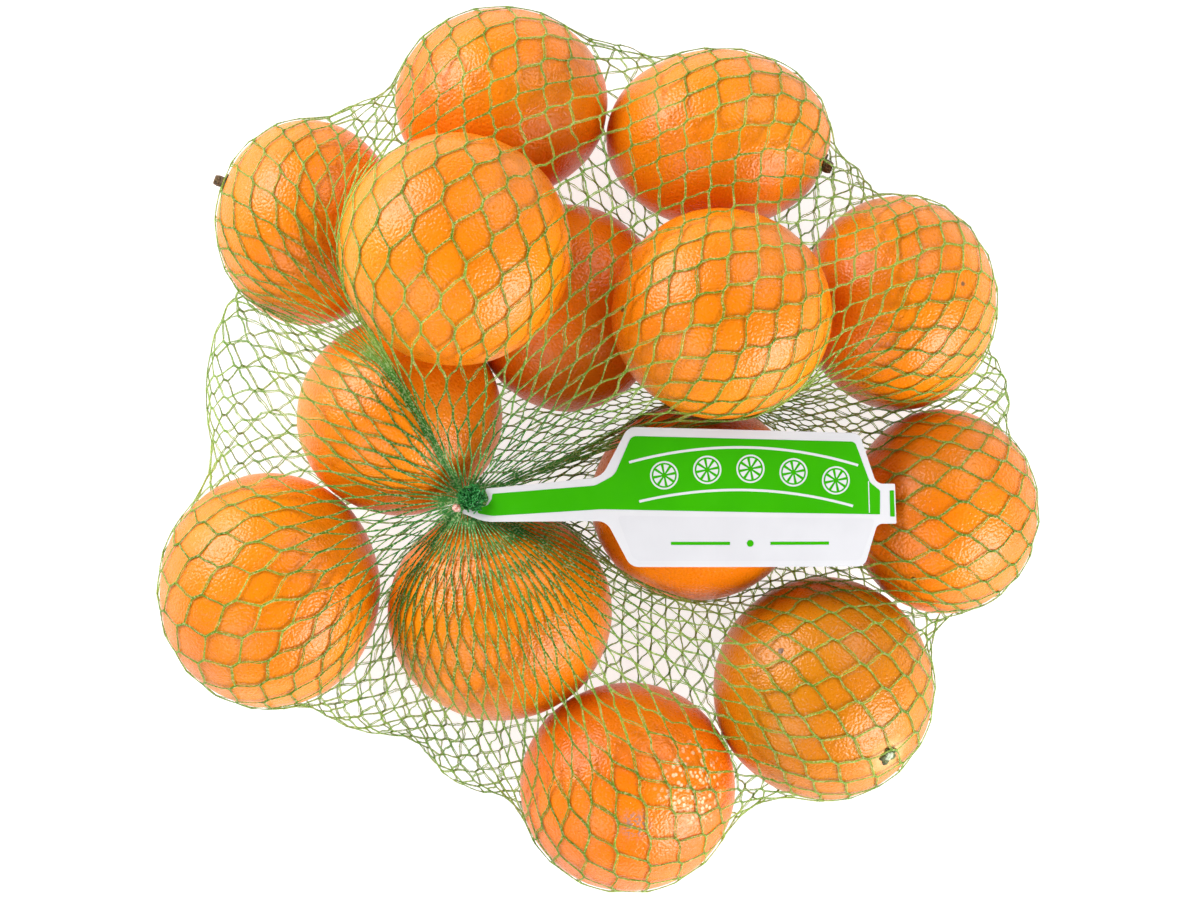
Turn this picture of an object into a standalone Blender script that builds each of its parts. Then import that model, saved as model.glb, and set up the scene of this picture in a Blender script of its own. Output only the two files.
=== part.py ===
"""A net of oranges, lying on a table with its gathered end up and its label on top.

Lengths are in metres. X runs to the right, Y away from the viewer and Z up.
The origin is the middle of the underside, on the table.
"""

import math
import random
from typing import NamedTuple

import bmesh
import bpy
import numpy as np

PART_NAME = "net_of_oranges"

# The net and how its skin is divided: columns run from one gathered end to the other.
NET_THICKNESS = 0.0008
NET_COLUMNS = 96
NET_ROWS = 58
SLACK_SKIN = (0.155, 0.155, 0.058)
PULL_ROUNDS = 1000
PULL_SHARE = 0.6
STRETCH_POWER = 1.0
SAG_PER_AREA = 1.0
FLAT_WITHIN = 0.0006
LEAST_TENSION = 1e-9
UPPER_SIDE = 0.030

# The net is open: between the fruit its skin lies part of the way down to what shows through it.
HOLLOW_SHARE = 0.62
HOLLOW_ROUNDS = 7
HOLLOW_REACH = 0.030

# The gathered end on top, in the valley between four oranges, and the one underneath.
GATHER = (-0.0402, -0.0149, 0.0525)
NECK_RADIUS = 0.0026
UNDER_GATHER = (0.0420, 0.0150, 0.0)
UNDER_NECK_RADIUS = 0.0060
PLEATS = 24
PLEAT_DEPTH = 0.0009
PLEAT_REACH = 0.030

# The tuft of cut net above the gather, which leans to the right.
TUFT_HEIGHT = 0.0086
TUFT_RADII = (0.0019, 0.0020, 0.0026, 0.0032, 0.0034, 0.0031)
TUFT_LEAN = (0.0030, 0.0011)
TUFT_FLUTES = 9
TUFT_FLUTE_DEPTH = 0.0004
TUFT_RAGGED = 0.0008
TUFT_SIDES = 36
TUFT_TOP_INSET = 0.45
FIT_GAP = 0.0003

# The weld that holds the label's strap to the gathered net.
WELD_RADIUS = 0.0012
WELD_PLACE = (-0.0026, -0.0023, 0.0034)
WELD_COLUMNS = 16
WELD_ROWS = 10

# The label: a panel on a strap, of stiff film, in its own plane around the panel's middle.
LABEL_MIDDLE = (0.0445, -0.0141)
LABEL_THICKNESS = 0.0005
LABEL_CUT_STEP = 0.0055
STRAP_LEFT = -0.0789
STRAP_TOP_LEFT = 0.0027
STRAP_TOP_RIGHT = 0.0062
STRAP_BOTTOM = -0.0068
STRAP_RIGHT = -0.0440
PANEL_LEFT = -0.0362
PANEL_RIGHT = 0.0325
PANEL_TOP = 0.0211
PANEL_TOP_RIGHT = 0.0193
PANEL_BOTTOM = -0.0204
SHOULDER_RIGHT = 0.0377
TAIL_RIGHT = 0.0434
TAIL_TOP = 0.0042
TAIL_BOTTOM = -0.0077

# How the label lies: it is highest over the orange beneath it and dips to the gather and its tail.
LABEL_TOP_HEIGHT = 0.0663
LABEL_CREST = -0.0130
LABEL_STRAP_DIP = 0.0094
LABEL_TAIL_DIP = 0.0085
LABEL_TILT = 0.06
LABEL_PRESS = 0.0007
LABEL_PRESS_MARGIN = 0.0040


class Orange(NamedTuple):
    """One orange: where its middle is, how far it is held off the net below, and its half widths.

    The same form serves for a pocket of slack net with no fruit in it.
    """

    x: float
    y: float
    lift: float
    half_x: float
    half_y: float
    half_z: float

    @property
    def middle(self):
        return (self.x, self.y, self.half_z + NET_THICKNESS + self.lift)


# Twelve oranges lie on the table and two ride on top of them.
ORANGES = (
    Orange(-0.0300, 0.1060, 0.0, 0.0325, 0.0290, 0.0320),
    Orange(0.0360, 0.0950, 0.0, 0.0345, 0.0275, 0.0315),
    Orange(-0.0890, 0.0695, 0.0, 0.0280, 0.0315, 0.0310),
    Orange(-0.0425, 0.0590, 0.0432, 0.0345, 0.0345, 0.0305),
    Orange(-0.0095, 0.0435, 0.0, 0.0295, 0.0320, 0.0270),
    Orange(0.0360, 0.0405, 0.0347, 0.0330, 0.0315, 0.0300),
    Orange(0.0910, 0.0450, 0.0, 0.0300, 0.0330, 0.0310),
    Orange(-0.0610, 0.0105, 0.0, 0.0315, 0.0305, 0.0320),
    Orange(0.0295, -0.0155, 0.0, 0.0325, 0.0305, 0.0320),
    Orange(0.1048, -0.0185, 0.0, 0.0290, 0.0315, 0.0295),
    Orange(-0.1005, -0.0425, 0.0, 0.0338, 0.0360, 0.0340),
    Orange(-0.0305, -0.0495, 0.0, 0.0345, 0.0330, 0.0325),
    Orange(0.0680, -0.0725, 0.0, 0.0338, 0.0340, 0.0325),
    Orange(0.0085, -0.1025, 0.0, 0.0330, 0.0320, 0.0320),
)

# Pockets where the net is slack and bellies out between two oranges at its edge.
SLACK_POCKETS = (
    Orange(-0.1020, 0.0170, 0.0, 0.0185, 0.0360, 0.0240),
)


def clear_scene():
    for old in list(bpy.data.objects):
        bpy.data.objects.remove(old, do_unlink=True)


def part_collection():
    collection = bpy.data.collections.new(PART_NAME)
    bpy.context.scene.collection.children.link(collection)
    return collection


def plain_material(name, colour, roughness):
    material = bpy.data.materials.new(name)
    material.use_nodes = True
    shader = material.node_tree.nodes["Principled BSDF"]
    shader.inputs["Base Color"].default_value = (*colour, 1.0)
    shader.inputs["Roughness"].default_value = roughness
    shader.inputs["Metallic"].default_value = 0.0
    return material


def make_object(name, shape, material, collection):
    """Makes a mesh object from a bmesh, which is freed."""
    bmesh.ops.recalc_face_normals(shape, faces=shape.faces[:])
    mesh = bpy.data.meshes.new(name)
    shape.to_mesh(mesh)
    shape.free()
    mesh.materials.append(material)
    mesh.shade_smooth()
    made = bpy.data.objects.new(name, mesh)
    collection.objects.link(made)
    return made


def label_outline():
    """The label's corners in its own plane, each with the radius that rounds it."""
    notch = STRAP_LEFT + 0.0016
    return (
        (STRAP_LEFT, STRAP_TOP_LEFT, 0.0006),
        (STRAP_RIGHT, STRAP_TOP_RIGHT, 0.0060),
        (PANEL_LEFT, PANEL_TOP, 0.0038),
        (PANEL_RIGHT, PANEL_TOP_RIGHT, 0.0028),
        (SHOULDER_RIGHT, TAIL_TOP, 0.0030),
        (TAIL_RIGHT, TAIL_TOP, 0.0003),
        (TAIL_RIGHT + 0.0005, TAIL_BOTTOM, 0.0003),
        (SHOULDER_RIGHT + 0.0004, TAIL_BOTTOM, 0.0022),
        (PANEL_RIGHT + 0.0018, PANEL_BOTTOM, 0.0030),
        (PANEL_LEFT + 0.0008, PANEL_BOTTOM, 0.0040),
        (STRAP_RIGHT + 0.0014, STRAP_BOTTOM, 0.0045),
        (STRAP_LEFT, STRAP_BOTTOM - 0.0004, 0.0150),
        (STRAP_LEFT - 0.0069, STRAP_BOTTOM + 0.0022, 0.0004),
        (STRAP_LEFT - 0.0064, STRAP_BOTTOM + 0.0032, 0.0004),
        (notch, STRAP_BOTTOM + 0.0023, 0.0025),
    )


def rounded(corners, arc_steps=5):
    """Points of a closed outline whose corners (x, y, radius) are rounded by arcs."""
    points = []
    for at, (x, y, radius) in enumerate(corners):
        here = np.array([x, y])
        before = np.array(corners[at - 1][:2]) - here
        after = np.array(corners[(at + 1) % len(corners)][:2]) - here
        before /= np.linalg.norm(before)
        after /= np.linalg.norm(after)
        half_angle = 0.5 * math.acos(float(np.clip(before @ after, -1.0, 1.0)))
        middle_way = (before + after) / np.linalg.norm(before + after)
        centre = here + middle_way * radius / math.sin(half_angle)
        reach = radius / math.tan(half_angle)
        start = here + before * reach - centre
        end = here + after * reach - centre
        sweep = math.atan2(start[0] * end[1] - start[1] * end[0], start @ end)
        for step in range(arc_steps + 1):
            turn = sweep * step / arc_steps
            cos_turn, sin_turn = math.cos(turn), math.sin(turn)
            spoke = (
                start[0] * cos_turn - start[1] * sin_turn,
                start[0] * sin_turn + start[1] * cos_turn,
            )
            points.append((centre[0] + spoke[0], centre[1] + spoke[1]))
    return points


def label_height(x, y):
    """Height of the label's underside over the point (x, y) of its own plane."""
    towards_strap = np.clip((LABEL_CREST - x) / (LABEL_CREST - STRAP_LEFT), 0.0, 1.2)
    towards_tail = np.clip((x - LABEL_CREST) / (TAIL_RIGHT - LABEL_CREST), 0.0, 1.2)
    dip = LABEL_STRAP_DIP * towards_strap**2 + LABEL_TAIL_DIP * towards_tail**2
    return LABEL_TOP_HEIGHT - dip + LABEL_TILT * y * (1.0 - towards_strap.clip(0.0, 1.0))


def inside_outline(points, outline):
    """True for each point (x, y) inside the closed outline."""
    inside = np.zeros(len(points), dtype=bool)
    ends = np.roll(outline, -1, axis=0)
    for (ax, ay), (bx, by) in zip(outline, ends):
        crosses = (ay > points[:, 1]) != (by > points[:, 1])
        if ay == by:
            continue
        meets = ax + (bx - ax) * (points[:, 1] - ay) / (by - ay)
        inside ^= crosses & (points[:, 0] < meets)
    return inside


def grown(outline, margin):
    """The closed outline moved outwards by a margin."""
    along = np.roll(outline, -1, axis=0) - np.roll(outline, 1, axis=0)
    along /= np.linalg.norm(along, axis=1)[:, None]
    return outline + margin * np.stack([-along[:, 1], along[:, 0]], axis=1)


def slack_skin():
    """A sphere with its poles at the two gathered ends, swollen well clear of the fruit."""
    shape = bmesh.new()
    bmesh.ops.create_uvsphere(shape, u_segments=NET_COLUMNS, v_segments=NET_ROWS, radius=1.0)
    for vertex in shape.verts:
        level = vertex.co.z
        gather = GATHER if level > 0 else UNDER_GATHER
        draw = abs(level) ** 3
        vertex.co.x = vertex.co.x * SLACK_SKIN[0] + gather[0] * draw
        vertex.co.y = vertex.co.y * SLACK_SKIN[1] + gather[1] * draw
        vertex.co.z = SLACK_SKIN[2] * (1.0 + level)
    shape.verts.ensure_lookup_table()
    return shape


def pin_gather(points, pole, ring, place, radius):
    """Puts a pole of the skin at its gather and the ring of points round it on the neck."""
    points[pole] = place
    for vertex in ring:
        angle = math.atan2(points[vertex, 1] - place[1], points[vertex, 0] - place[0])
        points[vertex] = (
            place[0] + radius * math.cos(angle),
            place[1] + radius * math.sin(angle),
            place[2],
        )


def keep_out_of(forms, points):
    """Moves every point that is inside one of the forms, or below the table, out to its surface."""
    for orange in forms:
        reach = np.array([orange.half_x, orange.half_y, orange.half_z]) + NET_THICKNESS
        away = (points - orange.middle) / reach
        distance = np.linalg.norm(away, axis=1)
        inside = distance < 1.0
        away = away[inside] / distance[inside, None]
        points[inside] = np.array(orange.middle) + away * reach
    points[:, 2] = points[:, 2].clip(min=0.0)


def keep_under_label(points, outline):
    """Presses the net down where the label lies on it."""
    flat = points[:, :2] - LABEL_MIDDLE
    covered = inside_outline(flat, outline) & (points[:, 2] > UPPER_SIDE)
    lowest = label_height(flat[:, 0], flat[:, 1]) - LABEL_PRESS
    points[covered, 2] = np.minimum(points[covered, 2], lowest[covered])


def pull_tight(shape):
    """Draws the net in round the fruit, a little at a time, as a skin under even tension."""
    points = np.array([vertex.co for vertex in shape.verts])
    pairs = np.array([[end.index for end in edge.verts] for edge in shape.edges])
    neighbours = np.bincount(pairs.ravel(), minlength=len(points))
    poles = [max(shape.verts, key=lambda v: v.co.z), min(shape.verts, key=lambda v: v.co.z)]
    necks = ((GATHER, NECK_RADIUS), (UNDER_GATHER, UNDER_NECK_RADIUS))
    ends = [
        (pole.index, [edge.other_vert(pole).index for edge in pole.link_edges], place, radius)
        for pole, (place, radius) in zip(poles, necks)
    ]
    pressed = grown(np.array(rounded(label_outline())), LABEL_PRESS_MARGIN)
    near, far = np.concatenate([pairs, pairs[:, ::-1]]).T
    for _ in range(PULL_ROUNDS):
        length = np.linalg.norm(points[near] - points[far], axis=1)
        tension = length**STRETCH_POWER + LEAST_TENSION
        sums = [np.bincount(near, tension * points[far, axis]) for axis in range(3)]
        points += PULL_SHARE * (np.stack(sums, axis=1) / np.bincount(near, tension)[:, None] - points)
        points[:, 2] -= SAG_PER_AREA * np.bincount(near, length**2) / neighbours
        keep_out_of(ORANGES + SLACK_POCKETS, points)
        keep_under_label(points, pressed)
        for end in ends:
            pin_gather(points, *end)
    return points


def height_beneath(points):
    """Height of the fruit, or of the table, straight below each point of the skin."""
    beneath = np.zeros(len(points))
    for orange in ORANGES:
        away = (points[:, :2] - (orange.x, orange.y)) / (orange.half_x, orange.half_y)
        share = (1.0 - (away**2).sum(axis=1)).clip(min=0.0)
        top = orange.middle[2] + orange.half_z * np.sqrt(share)
        beneath = np.maximum(beneath, np.where(share > 0.0, top, 0.0))
    return beneath


def hollow(shape, points):
    """Lowers the upper skin between the fruit, part of the way to what shows through the open net."""
    for vertex, place in zip(shape.verts, points):
        vertex.co = place
    shape.normal_update()
    facing_up = np.array([vertex.normal.z for vertex in shape.verts]).clip(0.0, 1.0)
    pairs = np.array([[end.index for end in edge.verts] for edge in shape.edges])
    near, far = np.concatenate([pairs, pairs[:, ::-1]]).T
    neighbours = np.bincount(near)
    from_gather = np.linalg.norm(points - GATHER, axis=1) / HOLLOW_REACH
    drop = HOLLOW_SHARE * facing_up * (points[:, 2] - height_beneath(points)).clip(min=0.0)
    for _ in range(HOLLOW_ROUNDS):
        drop = 0.5 * drop + 0.5 * np.bincount(near, drop[far]) / neighbours
    points[:, 2] -= drop * from_gather.clip(0.0, 1.0) ** 2
    keep_out_of(ORANGES, points)


def pleat(points):
    """Radial pleats that the gather draws in the net, fading out over the nearest fruit."""
    away = points[:, :2] - GATHER[:2]
    distance = np.linalg.norm(away, axis=1)
    fade = np.clip((distance - NECK_RADIUS) / PLEAT_REACH, 0.0, 1.0)
    strength = np.sin(math.pi * fade) * (points[:, 2] > UPPER_SIDE)
    angle = np.arctan2(away[:, 1], away[:, 0])
    points[:, 2] += PLEAT_DEPTH * strength * (0.5 * np.cos(PLEATS * angle) - 0.5)


def filled_net(collection):
    """The net with all its oranges, as one solid out to the net's surface."""
    shape = slack_skin()
    points = pull_tight(shape)
    hollow(shape, points)
    pleat(points)
    points[points[:, 2] < FLAT_WITHIN, 2] = 0.0
    for vertex, place in zip(shape.verts, points):
        vertex.co = place
    bmesh.ops.triangulate(shape, faces=shape.faces[:])
    material = plain_material("orange_peel_in_net", (0.86, 0.27, 0.02), 0.45)
    return make_object("filled_net", shape, material, collection)


def label(collection):
    """The printed film: a strap welded to the gather, a panel and a short tail, bent to lie down."""
    shape = bmesh.new()
    corners = [shape.verts.new((x, y, 0.0)) for x, y in rounded(label_outline())]
    shape.faces.new(corners)
    cuts = int((TAIL_RIGHT - STRAP_LEFT) / LABEL_CUT_STEP)
    for cut in range(1, cuts + 1):
        bmesh.ops.bisect_plane(
            shape,
            geom=shape.verts[:] + shape.edges[:] + shape.faces[:],
            plane_co=(STRAP_LEFT + cut * LABEL_CUT_STEP, 0.0, 0.0),
            plane_no=(1.0, 0.0, 0.0),
        )
    bmesh.ops.triangulate(shape, faces=shape.faces[:])
    for vertex in shape.verts:
        x, y = vertex.co.x, vertex.co.y
        vertex.co = (
            x + LABEL_MIDDLE[0],
            y + LABEL_MIDDLE[1],
            float(label_height(np.float64(x), np.float64(y))),
        )
    made = make_object("label", shape, plain_material("printed_film", (0.9, 0.9, 0.9), 0.25), collection)
    skin = made.modifiers.new("film", "SOLIDIFY")
    skin.thickness = LABEL_THICKNESS
    skin.offset = 1.0
    skin.show_render = skin.show_viewport
    return made


def tuft(collection):
    """The cut end of the net above the gather: a fluted, ragged sheaf that leans to the right."""
    ragged = random.Random(4)
    shape = bmesh.new()
    bmesh.ops.create_cone(
        shape, cap_ends=True, segments=TUFT_SIDES, radius1=1.0, radius2=1.0, depth=1.0
    )
    last = len(TUFT_RADII) - 1
    for cut in range(1, last):
        bmesh.ops.bisect_plane(
            shape,
            geom=shape.verts[:] + shape.edges[:] + shape.faces[:],
            plane_co=(0.0, 0.0, cut / last - 0.5),
            plane_no=(0.0, 0.0, 1.0),
        )
    top = [face for face in shape.faces if face.normal.z > 0.9]
    bmesh.ops.inset_region(shape, faces=top, thickness=TUFT_TOP_INSET)
    for vertex in shape.verts:
        share = vertex.co.z + 0.5
        radius = TUFT_RADII[round(share * last)]
        angle = math.atan2(vertex.co.y, vertex.co.x)
        flute = TUFT_FLUTE_DEPTH * math.cos(TUFT_FLUTES * angle) * share
        spread = math.hypot(vertex.co.x, vertex.co.y)
        rise = TUFT_RAGGED * ragged.uniform(-1.0, 1.0) if share > 0.99 else 0.0
        vertex.co = (
            GATHER[0] + TUFT_LEAN[0] * share**1.5 + (radius + flute) * spread * math.cos(angle),
            GATHER[1] + TUFT_LEAN[1] * share**1.5 + (radius + flute) * spread * math.sin(angle),
            GATHER[2] + FIT_GAP + TUFT_HEIGHT * share + rise,
        )
    bmesh.ops.triangulate(shape, faces=shape.faces[:])
    material = plain_material("net_strands", (0.02, 0.22, 0.05), 0.4)
    return make_object("net_tuft", shape, material, collection)


def weld(collection):
    """The small melted bead where the strap's end is welded round the gathered net."""
    shape = bmesh.new()
    bmesh.ops.create_uvsphere(
        shape, u_segments=WELD_COLUMNS, v_segments=WELD_ROWS, radius=WELD_RADIUS
    )
    for vertex in shape.verts:
        vertex.co.x += GATHER[0] + WELD_PLACE[0]
        vertex.co.y += GATHER[1] + WELD_PLACE[1]
        vertex.co.z += GATHER[2] + WELD_PLACE[2]
    bmesh.ops.triangulate(shape, faces=shape.faces[:])
    material = plain_material("melted_film", (0.85, 0.6, 0.52), 0.4)
    return make_object("weld_bead", shape, material, collection)


def main():
    clear_scene()
    collection = part_collection()
    filled_net(collection)
    label(collection)
    tuft(collection)
    weld(collection)


main()
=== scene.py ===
"""The look of a net of oranges, laid out as an add-on whose operators each build one kind of piece.

Lengths are in metres, in the frame of the solids: X right, Y away, Z up, the table at Z = 0.
"""

import math
import random
from typing import NamedTuple

import bmesh
import bpy
import numpy as np
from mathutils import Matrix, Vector, noise


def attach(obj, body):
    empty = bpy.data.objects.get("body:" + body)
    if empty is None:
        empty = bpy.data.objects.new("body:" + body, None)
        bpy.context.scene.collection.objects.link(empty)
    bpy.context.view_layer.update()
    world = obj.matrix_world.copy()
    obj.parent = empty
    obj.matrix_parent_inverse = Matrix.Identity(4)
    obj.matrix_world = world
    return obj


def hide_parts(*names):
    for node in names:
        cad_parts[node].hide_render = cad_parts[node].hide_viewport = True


bl_info = {
    "name": "Net of oranges",
    "version": (1, 0, 0),
    "blender": (4, 5, 0),
    "location": "View3D > Sidebar > Oranges",
    "description": "Builds a knitted net of oranges with its printed label",
    "category": "Object",
}

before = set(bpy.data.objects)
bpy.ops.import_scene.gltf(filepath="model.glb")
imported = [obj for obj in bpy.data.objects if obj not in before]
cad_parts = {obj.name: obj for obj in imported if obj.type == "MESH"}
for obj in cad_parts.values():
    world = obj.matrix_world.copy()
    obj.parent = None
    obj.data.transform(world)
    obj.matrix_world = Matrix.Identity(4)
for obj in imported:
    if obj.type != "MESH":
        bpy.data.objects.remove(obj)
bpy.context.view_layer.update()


# The forms that the solids share: the fruit, the two gathers and the label.

NET_THICKNESS = 0.0008
GATHER = np.array((-0.0402, -0.0149, 0.0525))
NECK_RADIUS = 0.0026
UNDER_GATHER = np.array((0.042, 0.015, 0.0003))
UNDER_NECK_RADIUS = 0.006
SLACK_SKIN = (0.155, 0.155, 0.058)
LABEL_MIDDLE = (0.0445, -0.0141)
LABEL_TOP_HEIGHT = 0.0663
LABEL_CREST = -0.013
LABEL_STRAP_DIP = 0.0094
LABEL_TAIL_DIP = 0.0085
LABEL_TILT = 0.06
LABEL_PRESS = 0.0007
LABEL_PRESS_MARGIN = 0.004
STRAP_LEFT = -0.0789
TAIL_RIGHT = 0.0434

# The label's corners in its own plane, each with the radius that rounds it.
LABEL_CORNERS = (
    (-0.0789, 0.0027, 0.0006), (-0.044, 0.0062, 0.006), (-0.0362, 0.0211, 0.0038),
    (0.0325, 0.0193, 0.0028), (0.0377, 0.0042, 0.003), (0.0434, 0.0042, 0.0003),
    (0.0439, -0.0077, 0.0003), (0.0381, -0.0077, 0.0022), (0.0343, -0.0204, 0.003),
    (-0.0354, -0.0204, 0.004), (-0.0426, -0.0068, 0.0045), (-0.0789, -0.0072, 0.015),
    (-0.0858, -0.0046, 0.0004), (-0.0853, -0.0036, 0.0004), (-0.0822, -0.0036, 0.0012),
    (-0.0787, -0.0026, 0.0016), (-0.0776, -0.0004, 0.0012),
)


class Mark(NamedTuple):
    """A spot on the peel, mostly a blemish, once a painted highlight and once a painted shade: the way to it
    from the orange's middle, its radius, colour and kind.
    """

    way: tuple
    radius: float
    colour: tuple
    kind: str = "spot"


class Orange(NamedTuple):
    """One orange: its middle, lift off the net below, half widths, stem end, tone and marks (blemishes, and
    on two oranges a painted highlight and a painted shade).
    """

    name: str
    x: float
    y: float
    lift: float
    half: tuple
    stem: tuple
    stem_kind: str = "button"
    yellow: float = 0.0
    deep: float = 0.0
    marks: tuple = ()

    @property
    def middle(self):
        return np.array((self.x, self.y, self.half[2] + NET_THICKNESS + self.lift))


BROWN = (0.1, 0.045, 0.015)
GREY_BROWN = (0.16, 0.1, 0.05)
# Colour of the painted highlight, a pale reflection of a light painted on the peel.
PAINTED_HIGHLIGHT = (0.95, 0.5, 0.2)

ORANGES = (
    Orange("orange_back_left", -0.03, 0.106, 0.0, (0.0325, 0.029, 0.032), (0.2, 0.5, -0.8), deep=0.4),
    Orange(
        "orange_back_right", 0.036, 0.095, 0.0, (0.0345, 0.0275, 0.0315), (0.96, -0.3, 0.05), "nub"
    ),
    Orange("orange_far_left", -0.089, 0.0695, 0.0, (0.028, 0.0315, 0.031), (-0.9, 0.38, 0.12), "stub"),
    Orange("orange_top_left", -0.0425, 0.059, 0.0432, (0.0345, 0.0345, 0.0305), (-0.3, 0.3, -0.9)),
    Orange("orange_low_middle", -0.0095, 0.0435, 0.0, (0.0295, 0.032, 0.027), (0.1, 0.3, -0.95), deep=0.6),
    Orange(
        "orange_top_middle", 0.036, 0.0405, 0.0347, (0.033, 0.0315, 0.03), (0.88, -0.02, -0.47),
        marks=(Mark((-0.88, 0.03, 0.42), 0.0012, BROWN),),
    ),
    Orange(
        "orange_far_right", 0.091, 0.045, 0.0, (0.03, 0.033, 0.031), (-0.6, -0.15, -0.79),
        marks=(Mark((0.6, 0.147, 0.79), 0.0013, GREY_BROWN),),
    ),
    Orange("orange_left_of_middle", -0.061, 0.0105, 0.0, (0.0315, 0.0305, 0.032), (0.3, -0.2, -0.93)),
    Orange("orange_under_label", 0.0295, -0.0155, 0.0, (0.0325, 0.0305, 0.032), (-0.2, 0.1, -0.97), deep=0.3),
    Orange(
        "orange_right", 0.1048, -0.0185, 0.0, (0.029, 0.0315, 0.0295), (0.37, 0.65, -0.66), deep=0.3,
        marks=(Mark((-0.37, -0.65, 0.66), 0.0012, BROWN),),
    ),
    Orange("orange_left", -0.1005, -0.0425, 0.0, (0.0338, 0.036, 0.034), (-0.4, -0.3, -0.86)),
    Orange(
        "orange_front_middle", -0.0305, -0.0495, 0.0, (0.0345, 0.033, 0.0325), (0.3, 0.4, -0.86),
        # Painted shade: the peel darkened to its shaded colour in a grainy patch at the lower left edge, next
        # to orange_left.
        marks=(Mark((-0.754, -0.398, 0.523), 0.0105, (0.5, 0.14, 0.003), "smear_and_shade"),),
    ),
    Orange(
        "orange_front_right", 0.068, -0.0725, 0.0, (0.0338, 0.034, 0.0325), (0.5625, -0.5714, 0.598),
        yellow=0.8,
        marks=(
            # Painted highlight: a soft pale patch round the stem end, where the lower right light is
            # reflected.
            Mark((0.5625, -0.5714, 0.598), 0.008, PAINTED_HIGHLIGHT, "ring"),
            Mark((-0.42, 0.38, 0.82), 0.0011, BROWN),
        ),
    ),
    Orange(
        "orange_front", 0.0085, -0.1025, 0.0, (0.033, 0.032, 0.032), (0.1, 0.5, -0.85), deep=0.9,
        marks=(
            Mark((0.62, 0.1, 0.78), 0.0122, (0.97, 0.66, 0.4), "speckled"),
            # Greyish dirt on the peel, its own colour.
            Mark((0.06, -0.27, 0.96), 0.0052, (0.38, 0.2, 0.15), "smear_and_shade"),
        ),
    ),
)

# The net stands out slack between oranges at the edge, with no fruit in it: middle and half widths.
SLACK_POCKETS = (
    ((-0.102, 0.017, 0.0248), (0.0185, 0.036, 0.024)),
    ((-0.062, -0.0695, 0.02), (0.03, 0.018, 0.016)),
    ((-0.031, -0.084, 0.02), (0.024, 0.0215, 0.016)),
    ((0.062, 0.07, 0.025), (0.0235, 0.0235, 0.016)),
    ((0.106, 0.0145, 0.023), (0.0195, 0.022, 0.016)),
    ((-0.066, 0.088, 0.025), (0.022, 0.02, 0.016)),
    ((0.004, 0.108, 0.024), (0.016, 0.0165, 0.015)),
)


# Settings, one group for each kind of piece.


def count_property(name, description, default):
    return bpy.props.IntProperty(name=name, description=description, default=default)


def factor_property(name, description, default):
    return bpy.props.FloatProperty(name=name, description=description, default=default, subtype="FACTOR")


def power_property(name, description, default):
    return bpy.props.FloatProperty(name=name, description=description, default=default, subtype="POWER")


def length_property(name, description, default):
    return bpy.props.FloatProperty(
        name=name, description=description, default=default, unit="LENGTH", subtype="DISTANCE"
    )


class PeelSettings(bpy.types.PropertyGroup):
    """How the oranges are divided and how uneven they are."""

    subdivisions: count_property("Subdivisions", "How often the sphere of an orange is divided", 6)
    lumps: factor_property("Lumps", "Depth of the broad unevenness, as a share of the radius", 0.011)
    ripples: factor_property(
        "Ripples", "Depth of the finer unevenness, as a share of the radius", 0.0045
    )
    pore_spacing: length_property("Pore spacing", "Distance between the pores of the peel", 0.0016)
    pore_depth: length_property("Pore depth", "Depth that the pores are shaded to", 0.00008)
    cobble_size: length_property("Cobble size", "Size of the fine bumps of the peel", 0.0008)


class NetSettings(bpy.types.PropertyGroup):
    """The knitting of the net and how it is drawn round the fruit."""

    columns: count_property("Columns", "Rows of knots from gather to gather, round the pack", 96)
    rows: count_property("Rows", "Knots in a column from the upper gather to the lower one", 46)
    rounds: count_property("Rounds", "Steps in which the net is drawn tight", 1200)
    knot_tension: factor_property("Knot tension", "Stiffness of a knot against a strand", 8.0)
    strand_length: length_property(
        "Strand length", "Longest that a strand gets between two knots", 0.007
    )
    knot_length: length_property("Knot length", "Longest that a knot gets", 0.0017)
    length_spread: factor_property("Length spread", "Spread of those two lengths", 0.08)
    unevenness: factor_property("Unevenness", "Spread of the strands' tension", 0.28)
    skew: factor_property("Skew", "How much the cells lean, in patches", 0.3)
    fibre_width: length_property("Fibre width", "Width of one flat fibre", 0.00034)
    fibre_thickness: length_property("Fibre thickness", "Thickness of one flat fibre", 0.00018)
    parting: length_property("Parting", "How far the fibres of a yarn part between knots", 0.00038)


class LabelSettings(bpy.types.PropertyGroup):
    """The printed film."""

    thickness: length_property("Film thickness", "Thickness of the film", 0.0005)
    print_lift: length_property("Print lift", "Height of one layer of print over the one below", 0.00003)
    cut_step: length_property(
        "Cut step", "Length of the straight pieces that the label bends in", 0.0016
    )


class StageSettings(bpy.types.PropertyGroup):
    """Camera and light."""

    camera_height: length_property("Camera height", "Height of the camera over the table", 1.15)
    lens: bpy.props.FloatProperty(
        name="Lens", description="Focal length in millimetres on a sensor 36 mm wide", default=109.87
    )
    side_power: power_property("Side power", "Power of each side light in watts", 30.0)
    fill_power: power_property("Fill power", "Power of each fill light in watts", 9.0)
    floor_glow: bpy.props.FloatProperty(
        name="Floor glow", description="Light that the table gives off by itself", default=0.8
    )


# Shared helpers.


def linked(name, data):
    """A new object of the scene that shows the data."""
    made = bpy.data.objects.new(name, data)
    bpy.context.scene.collection.objects.link(made)
    return made


def finished_piece(name, mesh, material, slot, *nodes):
    """Puts a mesh into the scene as a piece of the object."""
    mesh.name = name
    mesh.materials.clear()
    mesh.materials.append(material)
    piece = linked(name, mesh)
    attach(piece, "root")
    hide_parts(*nodes)
    return piece


def mesh_from(shape, name, smooth=True):
    """A mesh from a bmesh, which is freed."""
    bmesh.ops.recalc_face_normals(shape, faces=shape.faces[:])
    mesh = bpy.data.meshes.new(name)
    shape.to_mesh(mesh)
    shape.free()
    if smooth:
        mesh.shade_smooth()
    return mesh


def unit(vector):
    """The vector with the length 1."""
    vector = np.array(vector, dtype=float)
    return vector / np.linalg.norm(vector)


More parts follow.
